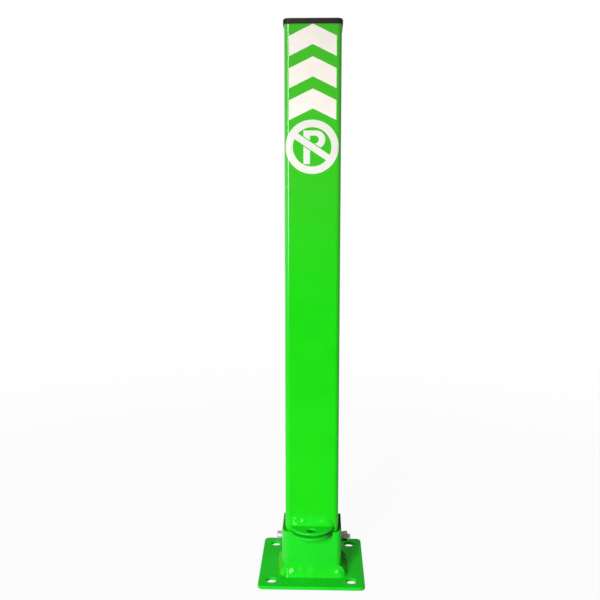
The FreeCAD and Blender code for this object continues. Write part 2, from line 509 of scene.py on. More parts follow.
@dataclass(frozen=True)
class ZincPlate(Finish):
    """Bright zinc plate with a faint blue and straw cast and fine turning marks round the bolt's axis."""

    name: str = "zinc_plate"
    slot: str = "zinc_plate"
    blue_cast: Colour = (0.40, 0.43, 0.50)
    straw_cast: Colour = (0.44, 0.41, 0.36)
    cast_size: float = 5 * MM
    cast_band: Pair = (0.35, 0.7)
    mark_size: float = 0.25 * MM
    mark_stretch: tuple[float, float, float] = (1.0, 0.05, 0.05)
    mark_depth: float = 0.004 * MM
    dull_size: float = 1.5 * MM
    dull_detail: float = 3.0
    roughness: float = 0.56
    dull_roughness: float = 0.72

    def paint(self, graph: ShaderGraph) -> None:
        """Fills a material's graph.

        Args:
            graph: the graph, which is empty.
        """
        place = graph.place()
        cast = graph.mottle(place, self.cast_size).eased(*self.cast_band)
        marks = graph.mottle(graph.stretched(place, self.mark_stretch), self.mark_size)
        dull = graph.mottle(place, self.dull_size, self.dull_detail)
        graph.surface({
            "Base Color": graph.blend(cast, self.blue_cast, self.straw_cast),
            "Metallic": 1.0,
            "Roughness": dull.between(self.roughness, self.dull_roughness),
            "Normal": graph.bump(marks, self.mark_depth),
        })


@dataclass(frozen=True)
class ShadedZinc(ZincPlate):
    """Zinc plate darkened to a dark straw brown by painted shade."""

    name: str = "shaded_zinc_plate"
    # Painted shade: dark straw brown casts for the hardware at the bracket's right.
    blue_cast: Colour = (0.13, 0.115, 0.090)
    straw_cast: Colour = (0.22, 0.19, 0.145)
    roughness: float = 0.28
    dull_roughness: float = 0.46


@dataclass(frozen=True)
class MouldedPlastic(Finish):
    """Brownish black plastic with a fine spark-eroded grain and paler rubbed patches."""

    name: str = "black_plastic"
    slot: str = "black_plastic"
    colour: Colour = (0.012, 0.009, 0.007)
    rubbed_colour: Colour = (0.034, 0.025, 0.020)
    rub_size: float = 6 * MM
    rub_detail: float = 3.0
    rub_stretch: tuple[float, float, float] = (0.35, 0.35, 1.0)
    rub_band: Pair = (0.5, 0.75)
    grain_size: float = 0.35 * MM
    grain_depth: float = 0.012 * MM
    roughness: float = 0.36
    dull_roughness: float = 0.55
    specular_level: float = 0.14

    def paint(self, graph: ShaderGraph) -> None:
        """Fills a material's graph.

        Args:
            graph: the graph, which is empty.
        """
        place = graph.place()
        rubbed = graph.mottle(graph.stretched(place, self.rub_stretch), self.rub_size, self.rub_detail)
        grain = graph.mottle(place, self.grain_size)
        graph.surface({
            "Base Color": graph.blend(rubbed.eased(*self.rub_band), self.colour, self.rubbed_colour),
            "Roughness": rubbed.between(self.roughness, self.dull_roughness),
            "Specular IOR Level": self.specular_level,
            "Normal": graph.bump(grain, self.grain_depth),
        })


@dataclass(frozen=True)
class ReflectiveFilm(Finish):
    """Warm white retroreflective film: glass beads under a clear skin."""

    name: str = "reflective_film"
    slot: str = "reflective_film"
    colour: Colour = (0.98, 0.915, 0.835)
    shade_colour: Colour = (0.95, 0.875, 0.79)
    cloud_size: float = 12 * MM
    cloud_band: Pair = (0.4, 0.8)
    bead_size: float = 0.45 * MM
    bead_depth: float = 0.006 * MM
    roughness: float = 0.34
    dull_roughness: float = 0.46

    def paint(self, graph: ShaderGraph) -> None:
        """Fills a material's graph.

        Args:
            graph: the graph, which is empty.
        """
        place = graph.place()
        beads = graph.cells(place, self.bead_size)
        cloud = graph.mottle(place, self.cloud_size).eased(*self.cloud_band)
        graph.surface({
            "Base Color": graph.blend(cloud, self.colour, self.shade_colour),
            "Roughness": beads.between(self.roughness, self.dull_roughness),
            "Normal": graph.bump(beads, self.bead_depth),
        })


@dataclass(frozen=True)
class ShadedSignFilm(ReflectiveFilm):
    """The round sign's film, which painted shade makes darker than the chevrons' film."""

    name: str = "shaded_sign_film"
    # Painted shade: a darker colour than the chevrons' film.
    colour: Colour = (0.83, 0.81, 0.745)
    shade_colour: Colour = (0.80, 0.77, 0.70)


@cache
def material_of(finish: Finish) -> bpy.types.Material:
    """Makes the material of a finish, once.

    Args:
        finish: the finish.

    Returns:
        Its material.
    """
    material = bpy.data.materials.new(finish.name)
    material.use_nodes = True
    finish.paint(ShaderGraph(material.node_tree))
    return material


# Outlines and meshes


def arc(centre: Vector, radius: float, start: float, sweep: float, steps: int) -> list[Vector]:
    """Points on an arc, both ends included.

    Args:
        centre: the arc's centre, in the plane.
        radius: its radius.
        start: the direction of its first point, in degrees.
        sweep: how far it turns, anticlockwise where positive, in degrees.
        steps: the number of its segments.

    Returns:
        The points in order.
    """
    angles = [math.radians(start + sweep * step / steps) for step in range(steps + 1)]
    return [centre + radius * Vector((math.cos(angle), math.sin(angle))) for angle in angles]


def circle(centre: Vector, radius: float, steps: int) -> list[Vector]:
    """A full circle, anticlockwise, without a repeated point."""
    return arc(centre, radius, 0, 360, steps)[:-1]


def rounded(corners: Iterable[tuple[float, float, float]], steps: int = 6) -> list[Vector]:
    """A closed polygon with its corners rounded.

    Args:
        corners: x, y and radius of each corner, in order.
        steps: the number of segments in each rounded corner.

    Returns:
        The outline's points.
    """
    corners = list(corners)
    outline = []
    for index, (x, y, radius) in enumerate(corners):
        corner = Vector((x, y))
        back = (Vector(corners[index - 1][:2]) - corner).normalized()
        ahead = (Vector(corners[(index + 1) % len(corners)][:2]) - corner).normalized()
        half = math.acos(max(-1.0, min(1.0, back.dot(ahead)))) / 2
        centre = corner + (back + ahead).normalized() * radius / math.sin(half)
        first = corner + back * radius / math.tan(half) - centre
        last = corner + ahead * radius / math.tan(half) - centre
        start = math.degrees(math.atan2(first.y, first.x))
        turn = math.degrees(math.atan2(last.y, last.x)) - start
        outline += arc(centre, radius, start, (turn + 180) % 360 - 180, steps)
    return outline


def inset(outline: Sequence[Vector], distance: float) -> list[Vector]:
    """Moves an outline to the left of its own direction, which is inwards for an anticlockwise one.

    Args:
        outline: the outline's points, in order.
        distance: how far its sides move.

    Returns:
        The moved points.
    """
    moved = []
    for index, point in enumerate(outline):
        back = (point - outline[index - 1]).normalized()
        ahead = (outline[(index + 1) % len(outline)] - point).normalized()
        left = Vector((-back.y, back.x))
        bisector = (left + Vector((-ahead.y, ahead.x))).normalized()
        moved.append(point + bisector * distance / max(bisector.dot(left), MITRE_LIMIT))
    return moved


@dataclass
class Edge:
    """A closed edge line of a slab, with the slab on its left, and the radius that its rims are eased to."""

    line: list[Vector]
    radius: float


@dataclass
class Slab:
    """A flat slab with eased rims: an outer edge, the edges of its holes, and its lower and upper heights."""

    outer: Edge
    holes: list[Edge]
    bottom: float
    top: float
    rim_steps: int = 4

    def layers(self, radius: float) -> list[Pair]:
        """The lines that run round an edge, from the lower face to the upper one.

        Args:
            radius: the radius that the edge's rims are eased to.

        Returns:
            The inset and the height of each line.
        """
        angles = [math.pi / 2 * step / self.rim_steps for step in range(self.rim_steps + 1)]
        lower = [(radius * (1 - math.sin(a)), self.bottom + radius * (1 - math.cos(a))) for a in angles]
        upper = [(radius * (1 - math.cos(a)), self.top - radius * (1 - math.sin(a))) for a in angles]
        return lower + upper

    def build(self) -> bmesh.types.BMesh:
        """Makes the slab.

        Returns:
            The slab as a closed mesh.
        """
        mesh = bmesh.new()
        bottom_lines, top_lines = [], []
        for edge in [self.outer, *self.holes]:
            rings = []
            for distance, height in self.layers(edge.radius):
                line = inset(edge.line, distance)
                rings.append([mesh.verts.new((point.x, point.y, height)) for point in line])
            bridge(mesh, rings)
            bottom_lines += rim_edges(mesh, rings[0])
            top_lines += rim_edges(mesh, rings[-1])
        for lines in (bottom_lines, top_lines):
            bmesh.ops.triangle_fill(mesh, edges=lines, use_beauty=True)
        bmesh.ops.recalc_face_normals(mesh, faces=mesh.faces)
        return mesh


def bridge(mesh: bmesh.types.BMesh, rings: Sequence[Sequence[bmesh.types.BMVert]]) -> None:
    """Joins closed rings of vertices, each to the next, with quads.

    Args:
        mesh: the mesh that the rings belong to.
        rings: the rings, which all have the same number of vertices.
    """
    for low, high in zip(rings, rings[1:]):
        for index in range(len(low)):
            mesh.faces.new((low[index - 1], low[index], high[index], high[index - 1]))


def rim_edges(mesh: bmesh.types.BMesh, ring: Sequence[bmesh.types.BMVert]) -> list[bmesh.types.BMEdge]:
    """The edges round a closed ring of vertices."""
    return [mesh.edges.get((ring[index - 1], ring[index])) for index in range(len(ring))]


def slice_through(mesh: bmesh.types.BMesh, point: Vector, normal: Vector, clear_inner: bool = False) -> None:
    """Cuts a mesh's faces along a plane, and clears what lies behind it where that is asked for."""
    everything = [*mesh.verts, *mesh.edges, *mesh.faces]
    bmesh.ops.bisect_plane(mesh, geom=everything, plane_co=point, plane_no=normal, clear_inner=clear_inner)


def placed(name: str, work: bmesh.types.BMesh) -> bpy.types.Object:
    """Puts a mesh into the scene.

    Args:
        name: the new object's name.
        work: its mesh, which is used up.

    Returns:
        The object.
    """
    mesh = bpy.data.meshes.new(name)
    work.to_mesh(mesh)
    work.free()
    thing = bpy.data.objects.new(name, mesh)
    bpy.context.scene.collection.objects.link(thing)
    return thing


@dataclass
class Workshop:
    """Turns meshes into named, dressed pieces, and keeps a list of them."""

    made: list[str] = field(default_factory=list)
    crease_angle: float = math.radians(38)
    drill_steps: int = 48

    def piece(self, name: str, work: bmesh.types.BMesh, body: Body, finish: Finish,
              replaces: str | None = None) -> bpy.types.Object:
        """Makes a piece.

        Args:
            name: the piece's name.
            work: its mesh, in the post's frame, which is used up.
            body: what it rides on.
            finish: its surface.
            replaces: the plain solid that it stands for, if there is one.

        Returns:
            The piece's object.
        """
        piece = placed(name, work)
        self.smooth(piece.data)
        piece.data.materials.append(material_of(finish))
        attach(piece, body.value)
        if replaces:
            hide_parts(replaces)
        self.made.append(name)
        LOG.info("built %s on %s", name, body.value)
        return piece

    def smooth(self, mesh: bpy.types.Mesh) -> None:
        """Shades a mesh smooth, apart from its creases."""
        mesh.shade_smooth()
        mesh.set_sharp_from_angle(angle=self.crease_angle)

    def even_shading(self, piece: bpy.types.Object) -> None:
        """Lets a piece's large flat faces set the shading of the eased rims beside them."""
        weighted = piece.modifiers.new("even shading", "WEIGHTED_NORMAL")
        weighted.keep_sharp = True

    def drill(self, piece: bpy.types.Object, centre: Vector, radius: float, length: float) -> None:
        """Cuts a round hole along X right through a piece.

        Args:
            piece: the piece, which has no modifiers yet.
            centre: the middle of the hole.
            radius: the hole's radius.
            length: the drill's length.
        """
        work = bmesh.new()
        bmesh.ops.create_cone(work, cap_ends=True, segments=self.drill_steps, radius1=radius, radius2=radius,
                              depth=length)
        for vert in work.verts:
            vert.co = centre + Vector((vert.co.z, vert.co.y, -vert.co.x))
        cutter = placed("drill", work)
        cut = piece.modifiers.new("hole", "BOOLEAN")
        cut.object = cutter
        cut.solver = "EXACT"
        graph = bpy.context.evaluated_depsgraph_get()
        drilled = bpy.data.meshes.new_from_object(piece.evaluated_get(graph))
        piece.modifiers.clear()
        piece.data = drilled
        bpy.data.objects.remove(cutter)
        self.smooth(drilled)

    def dress(self, node: str, finish: Finish) -> None:
        """Gives a solid that keeps its own shape a finish.

        Args:
            node: the solid's name.
            finish: its surface.
        """
        materials = frame["nodes"][node].data.materials
        materials.clear()
        materials.append(material_of(finish))
        self.made.append(node)
        LOG.info("dressed %s", node)


# Steel work


def mount(name: str) -> dict:
    """One of the record's mounts, by name."""
    return next(entry for entry in frame["record"]["mounts"] if entry["name"] == name)


def pivot_height() -> float:
    """The height of the hinge's axis."""
    return frame["joints"][0]["pos_m"][2]


@dataclass
class GroundPlate:
    """The bolt-down plate with its four anchor holes."""

    corner_radius: float = 6 * MM
    corner_steps: int = 10
    rim_radius: float = 0.9 * MM
    hole_rim_radius: float = 0.5 * MM
    hole_steps: int = 48

    def build(self, workshop: Workshop) -> None:
        """Makes the plate from its solid's box and its anchor holes.

        Args:
            workshop: where pieces are made.
        """
        low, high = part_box("base_plate")
        corners = [(low.x, low.y), (high.x, low.y), (high.x, high.y), (low.x, high.y)]
        line = rounded([(x, y, self.corner_radius) for x, y in corners], self.corner_steps)
        slab = Slab(Edge(line, self.rim_radius), self.anchor_holes(), low.z, high.z)
        plate = workshop.piece("ground_plate", slab.build(), Body.BASE, DustyCoat(), "base_plate")
        workshop.even_shading(plate)

    def anchor_holes(self) -> list[Edge]:
        """Places the anchor holes as the record's bolt pattern has them.

        Returns:
            The edges of the holes.
        """
        pattern = mount("anchor_holes")["dims"]
        x, y = pattern["spacing_x_mm"] * MM / 2, pattern["spacing_y_mm"] * MM / 2
        radius = pattern["hole_r_mm"] * MM
        centres = [Vector((x * side, y * end)) for side in (-1, 1) for end in (-1, 1)]
        return [Edge(circle(c, radius, self.hole_steps)[::-1], self.hole_rim_radius) for c in centres]


@dataclass
class HingeBracket:
    """The strip bent into a U that the post's foot turns in."""

    wall: float = 3.0 * MM
    bend_radius: float = BRACKET_BEND
    bend_steps: int = 8
    end_radius: float = 0.8 * MM
    rim_radius: float = 0.6 * MM
    hole_radius: float = 3.25 * MM
    drill_reach: float = 2.2

    def build(self, workshop: Workshop) -> None:
        """Makes the U and drills the bolt's holes.

        Args:
            workshop: where pieces are made.
        """
        low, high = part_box("hinge_bracket")
        slab = Slab(Edge(self.outline(low, high), self.rim_radius), [], low.z, high.z)
        finish = BracketCoat(inner_half=high.x - self.wall, inner_front=low.y + self.wall, rim_height=high.z)
        bracket = workshop.piece("bent_bracket", slab.build(), Body.BASE, finish, "hinge_bracket")
        workshop.drill(bracket, Vector((0, 0, pivot_height())), self.hole_radius, self.drill_reach * high.x)
        workshop.even_shading(bracket)

    def outline(self, low: Vector, high: Vector) -> list[Vector]:
        """The U seen from above, anticlockwise, open towards the back.

        Args:
            low: the bracket's lowest corner.
            high: its highest corner.

        Returns:
            The outline's points.
        """
        inner_bend = self.bend_radius - self.wall
        left, right, front = low.x + self.wall, high.x - self.wall, low.y + self.wall
        return rounded([
            (low.x, low.y, self.bend_radius),
            (high.x, low.y, self.bend_radius),
            (high.x, high.y, self.end_radius),
            (right, high.y, self.end_radius),
            (right, front, inner_bend),
            (left, front, inner_bend),
            (left, high.y, self.end_radius),
            (low.x, high.y, self.end_radius),
        ], self.bend_steps)


@dataclass
class LockTabs:
    """The two half-round tabs that share the padlock's hole."""

    rim_radius: float = 1.2 * MM
    hole_rim_radius: float = 0.6 * MM
    root_depth: float = 1 * MM
    arc_steps: int = 72
    hole_steps: int = 48

    def build(self, workshop: Workshop) -> None:
        """Makes the post's tab and the bracket's tab."""
        self.tab(workshop, "post_tab", "upper_lock_tab", Body.POST, PowderCoat())
        self.tab(workshop, "bracket_tab", "lower_lock_tab", Body.BASE, TabCoat())

    def tab(self, workshop: Workshop, name: str, node: str, body: Body, finish: Finish) -> None:
        """Makes one tab.

        Args:
            workshop: where pieces are made.
            name: the new piece's name.
            node: the solid that it stands for.
            body: what it rides on.
            finish: its surface.
        """
        low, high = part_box(node)
        depth = high.y - low.y
        radius = (high.x * high.x + depth * depth) / (2 * depth)
        centre_y = low.y + radius
        back = high.y + self.root_depth
        half_turn = 90 + math.degrees(math.asin((back - centre_y) / radius))
        rim = arc(Vector((0, centre_y)), radius, -90 - half_turn, 2 * half_turn, self.arc_steps)
        hole = mount("padlock_hole")
        centre = Vector(hole["pos_m"][:2])
        shackle = circle(centre, hole["dims"]["r_mm"] * MM, self.hole_steps)[::-1]
        slab = Slab(Edge(rim, self.rim_radius), [Edge(shackle, self.hole_rim_radius)], low.z, high.z)
        workshop.even_shading(workshop.piece(name, slab.build(), body, finish, node))


# Welds


@dataclass(frozen=True)
class Lump:
    """A swelling on a weld: its place along and across the run, and its height, length and width."""

    along: float
    across: float
    height: float
    length: float
    width: float

    def moved(self, distance: float) -> "Lump":
        """The same lump, further along the run."""
        return replace(self, along=self.along + distance)


@dataclass
class RootLine:
    """The line where a weld's two walls meet, walked in short steps."""

    height: float
    up: Vector
    step: float = 0.45 * MM
    nearest: float = 0.045 * MM
    roots: list[Vector] = field(default_factory=list)
    outwards: list[Vector] = field(default_factory=list)

    def straight(self, start: Pair, end: Pair, outward: Vector) -> "RootLine":
        """Adds a straight stretch along a flat wall.

        Args:
            start: where the stretch starts.
            end: where it ends.
            outward: the direction that the wall faces.

        Returns:
            The line itself.
        """
        first, last = Vector(start), Vector(end)
        count = max(1, round((last - first).length / self.step))
        for index in range(count + 1):
            self.add(first.lerp(last, index / count), outward)
        return self

    def bend(self, centre: Pair, radius: float, start: float, sweep: float) -> "RootLine":
        """Adds a stretch round the outside of a bend.

        Args:
            centre: the bend's middle.
            radius: its radius.
            start: the direction of the stretch's first place, in degrees.
            sweep: how far it turns, anticlockwise where positive, in degrees.

        Returns:
            The line itself.
        """
        count = max(1, round(math.radians(abs(sweep)) * radius / self.step))
        for point in arc(Vector(centre), radius, start, sweep, count):
            self.add(point, (point - Vector(centre)).normalized().to_3d())
        return self

    def add(self, point: Vector, outward: Vector) -> None:
        """Adds one place, unless the line is there already.

        Args:
            point: the place, seen from above.
            outward: the direction that the wall faces there.
        """
        root = Vector((point.x, point.y, self.height))
        if not self.roots or (root - self.roots[-1]).length > self.nearest:
            self.roots.append(root)
            self.outwards.append(outward)

    def lengths(self) -> list[float]:
        """Measures the line.

        Returns:
            How far along the line each place is.
        """
        total, found = 0.0, []
        for index, root in enumerate(self.roots):
            total += (root - self.roots[index - 1]).length if index else 0.0
            found.append(total)
        return found


@dataclass
class WeldBead:
    """A run of weld metal in a corner, with ripples, a wandering toe, lumps and rounded ends.

    The section is a curve from the toe to the top, with two pulls between them as shares of the reach and the
    rise. The taper is how much less the toe reaches out at the run's end than at its start.
    """

    line: RootLine
    reach: float
    rise: float
    lumps: Sequence[Lump] = ()
    low_pull: Pair = (0.95, 0.38)
    high_pull: Pair = (0.38, 0.95)
    taper: float = 0.0
    ripple_pitch: float = 2.1 * MM
    ripple_depth: float = 0.08 * MM
    ripple_bow: float = 0.5
    wander: float = 0.35 * MM
    wander_length: float = 7 * MM
    toe_wander: float = 0.10
    end_lengths: Pair = (5 * MM, 5 * MM)
    least_fullness: float = 0.06
    relief_slope: float = 7.0
    ripple_level: float = 0.6
    wander_rows: float = 1.6
    sway_row: float = 5.0
    climb_row: float = 9.0
    root_depth: float = 0.4 * MM
    across_steps: int = 26
    seed: float = 0.0

    def build(self) -> bmesh.types.BMesh:
        """Makes the run.

        Returns:
            The run as a closed mesh.
        """
        mesh = bmesh.new()
        lengths = self.line.lengths()
        rings = []
        for root, outward, along in zip(self.line.roots, self.line.outwards, lengths):
            section = self.section(along, lengths[-1])
            points = [root + outward * out + self.line.up * rise for out, rise in section]
            rings.append([mesh.verts.new(point) for point in points])
        bridge(mesh, rings)
        for ring in (rings[0], rings[-1]):
            mesh.faces.new(ring)
        bmesh.ops.recalc_face_normals(mesh, faces=mesh.faces)
        return mesh

    def fullness(self, along: float, total: float) -> float:
        """How full the section is: whole along the run and rounding off to a point at both ends.

        Args:
            along: how far along the run it is.
            total: the run's length.

        Returns:
            The share of the whole section.
        """
        first, last = self.end_lengths
        end = max(0.0, 1 - along / first, 1 - (total - along) / last)
        return max(self.least_fullness, math.sqrt(1 - end * end))

    def drift(self, along: float, row: float) -> float:
        """Smooth noise along the run, a different one in each row."""
        return noise.noise(Vector((along / self.wander_length, row, self.seed)))

    def section(self, along: float, total: float) -> list[Pair]:
        """The bead's section at one place.

        Args:
            along: how far along the run it is.
            total: the run's length.

        Returns:
            The distance out from the wall and the height above the floor of each point round the section.
        """
        fullness = self.fullness(along, total)
        sway = self.toe_wander * self.drift(along, self.sway_row)
        climb = self.toe_wander * self.drift(along, self.climb_row)
        toe = Vector(((self.reach - self.taper * along / total) * (1 + sway), 0)) * fullness
        top = Vector((0, self.rise * (1 + climb))) * fullness
        low_pull, high_pull = (toe * out + top * up for out, up in (self.low_pull, self.high_pull))
        normal = Vector((self.rise, self.reach)).normalized()
        points = [(-self.root_depth, -self.root_depth), (toe.x, -self.root_depth)]
        for step in range(self.across_steps + 1):
            across = step / self.across_steps
            first, middle, last = (a.lerp(b, across) for a, b in
                                   ((toe, low_pull), (low_pull, high_pull), (high_pull, top)))
            point = first.lerp(middle, across).lerp(middle.lerp(last, across), across)
            points.append(tuple(point + normal * self.relief(along, across) * fullness))
        return [*points, (-self.root_depth, top.y)]

    def relief(self, along: float, across: float) -> float:
        """How far the surface stands out from the plain fillet.

        Args:
            along: how far along the run the place is.
            across: its share of the way from the toe to the top.

        Returns:
            The height, which is nought at the toe and at the top.
        """
        window = min(1.0, self.relief_slope * across * (1 - across))
        phase = along / self.ripple_pitch + self.ripple_bow * (2 * across - 1) ** 2
        ripple = self.ripple_depth * (abs(math.sin(math.pi * phase)) - self.ripple_level)
        wander = self.wander * self.drift(along, across * self.wander_rows)
        swelling = 0.0
        for lump in self.lumps:
            off_along = (along - lump.along) / lump.length
            off_across = (across - lump.across) / lump.width
            swelling += lump.height * math.exp(-off_along * off_along - off_across * off_across)
        return window * (ripple + wander + swelling)


@dataclass
class FootWelds:
    """The three runs that join the bracket to the plate.

    The left run ends in a nose at the left front corner. The front run starts there and goes straight on past
    the right front corner, and the right run comes round that corner to meet it.
    """

    bend_radius: float = BRACKET_BEND
    front_reach: float = 4.8 * MM
    front_rise: float = 13.5 * MM
    front_low_pull: Pair = (0.74, 0.29)
    front_high_pull: Pair = (0.05, 0.60)
    front_ends: Pair = (2 * MM, 9 * MM)
    front_ripple: float = 0.01 * MM
    front_wander: float = 0.03 * MM
    side_reach: float = 7.0 * MM
    side_rise: float = 8.5 * MM
    left_taper: float = 4.2 * MM
    left_ends: Pair = (5 * MM, 3 * MM)
    nose_angle: float = 68.0
    overrun: float = 4.6 * MM
    wrap_angle: float = 62.0
    front_lumps: tuple[Lump, ...] = (
        Lump(-20.0 * MM, 0.50, 0.80 * MM, 3.6 * MM, 0.18),
        Lump(-11.6 * MM, 0.66, 0.28 * MM, 2.8 * MM, 0.18),
        Lump(4.1 * MM, 0.66, 0.28 * MM, 2.8 * MM, 0.18),
        Lump(30.8 * MM, 0.52, 0.64 * MM, 2.6 * MM, 0.15),
        Lump(34.2 * MM, 0.40, 0.60 * MM, 2.0 * MM, 0.13),
    )

    def build(self, workshop: Workshop) -> None:
        """Makes the left, front and right runs.

        Args:
            workshop: where pieces are made.
        """
        low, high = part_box("hinge_bracket")
        bend_y = low.y + self.bend_radius
        left_bend = (low.x + self.bend_radius, bend_y)
        right_bend = (high.x - self.bend_radius, bend_y)
        self.left_run(workshop, low, high, left_bend)
        self.front_run(workshop, low, left_bend, high.x + self.overrun)
        self.right_run(workshop, low, high, right_bend)

    def left_run(self, workshop: Workshop, low: Vector, high: Vector, bend: Pair) -> None:
        """Makes the run along the left cheek, whose coat is yellowish in patches, and round most of the left bend.

        Args:
            workshop: where pieces are made.
            low: the bracket's lowest corner.
            high: the bracket's highest corner.
            bend: the middle of the left bend.
        """
        line = self.line(low.z).straight((low.x, high.y), (low.x, bend[1]), Vector((-1, 0, 0)))
        line.bend(bend, self.bend_radius, 180, self.nose_angle)
        bead = WeldBead(line, self.side_reach, self.side_rise, taper=self.left_taper,
                        end_lengths=self.left_ends, seed=11.0)
        workshop.piece("left_foot_weld", bead.build(), Body.BASE, PatchyCoat(), "foot_weld_left")

    def front_run(self, workshop: Workshop, low: Vector, bend: Pair, end_x: float) -> None:
        """Makes the smooth run along the front, from the left run's nose.

        Args:
            workshop: where pieces are made.
            low: the bracket's lowest corner.
            bend: the middle of the left bend.
            end_x: where the run ends on the right.
        """
        start_angle = 90 - self.nose_angle
        line = self.line(low.z).bend(bend, self.bend_radius, 270 - start_angle, start_angle)
        line.straight((bend[0], low.y), (end_x, low.y), Vector((0, -1, 0)))
        middle = math.radians(start_angle) * self.bend_radius - bend[0]
        lumps = [lump.moved(middle) for lump in self.front_lumps]
        bead = WeldBead(line, self.front_reach, self.front_rise, lumps,
                        low_pull=self.front_low_pull, high_pull=self.front_high_pull,
                        end_lengths=self.front_ends, ripple_depth=self.front_ripple,
                        wander=self.front_wander, seed=3.0)
        workshop.piece("front_foot_weld", bead.build(), Body.BASE, FlowedCoat(), "foot_weld_front")

    def right_run(self, workshop: Workshop, low: Vector, high: Vector, bend: Pair) -> None:
        """Makes the run round part of the right bend and along the right cheek, dark with painted shade.

        Args:
            workshop: where pieces are made.
            low: the bracket's lowest corner.
            high: the bracket's highest corner.
            bend: the middle of the right bend.
        """
        line = self.line(low.z).bend(bend, self.bend_radius, -self.wrap_angle, self.wrap_angle)
        line.straight((high.x, bend[1]), (high.x, high.y), Vector((1, 0, 0)))
        bead = WeldBead(line, self.side_reach, self.side_rise, seed=17.0)
        workshop.piece("right_foot_weld", bead.build(), Body.BASE, PaintedShadeCoat(), "foot_weld_right")

    def line(self, floor: float) -> RootLine:
        """An empty root line on the plate."""
        return RootLine(floor, Vector((0, 0, 1)))


@dataclass
class TabWelds:
    """The runs that hold the two tabs: lumpy at the left of the upper one, smooth and full at its right."""

    upper_reach: float = 3.0 * MM
    upper_rise: float = 13.0 * MM
    upper_low_pull: Pair = (0.80, 0.25)
    upper_high_pull: Pair = (0.06, 0.55)
    upper_ends: Pair = (6 * MM, 7 * MM)
    upper_ripple: float = 0.02 * MM
    upper_wander: float = 0.08 * MM
    overrun: float = 1.6 * MM
    lower_leg: float = 3.5 * MM
    lower_wander: float = 0.25 * MM
    upper_lumps: tuple[Lump, ...] = (
        Lump(-17.6 * MM, 0.64, 0.55 * MM, 2.4 * MM, 0.17),
        Lump(-9.2 * MM, 0.50, 0.64 * MM, 2.4 * MM, 0.20),
        Lump(-16.8 * MM, 0.14, 0.70 * MM, 2.4 * MM, 0.17),
        Lump(7.0 * MM, 0.42, 0.3 * MM, 8.0 * MM, 0.28),
        Lump(17.0 * MM, 0.42, 0.85 * MM, 7.0 * MM, 0.28),
    )

    def build(self, workshop: Workshop) -> None:
        """Makes the run on the post's tab and the run under the bracket's tab."""
        self.upper_run(workshop)
        self.lower_run(workshop)

    def upper_run(self, workshop: Workshop) -> None:
        """Makes the run on the post's tab.

        Args:
            workshop: where pieces are made.
        """
        low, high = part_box("upper_tab_weld")
        line = RootLine(low.z, Vector((0, 0, 1)))
        half = high.x + self.overrun
        line.straight((-half, high.y), (half, high.y), Vector((0, -1, 0)))
        lumps = [lump.moved(half) for lump in self.upper_lumps]
        bead = WeldBead(line, self.upper_reach, self.upper_rise, lumps,
                        low_pull=self.upper_low_pull, high_pull=self.upper_high_pull,
                        end_lengths=self.upper_ends, ripple_depth=self.upper_ripple,
                        wander=self.upper_wander, seed=23.0)
        workshop.piece("post_tab_weld", bead.build(), Body.POST, FlowedCoat(), "upper_tab_weld")

    def lower_run(self, workshop: Workshop) -> None:
        """Makes the run under the bracket's tab.

        Args:
            workshop: where pieces are made.
        """
        low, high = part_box("lower_tab_weld")
        line = RootLine(high.z, Vector((0, 0, -1)))
        line.straight((low.x, high.y), (high.x, high.y), Vector((0, -1, 0)))
        bead = WeldBead(line, self.lower_leg, self.lower_leg, wander=self.lower_wander, seed=31.0)
        workshop.piece("bracket_tab_weld", bead.build(), Body.BASE, PowderCoat(), "lower_tab_weld")


# Hardware


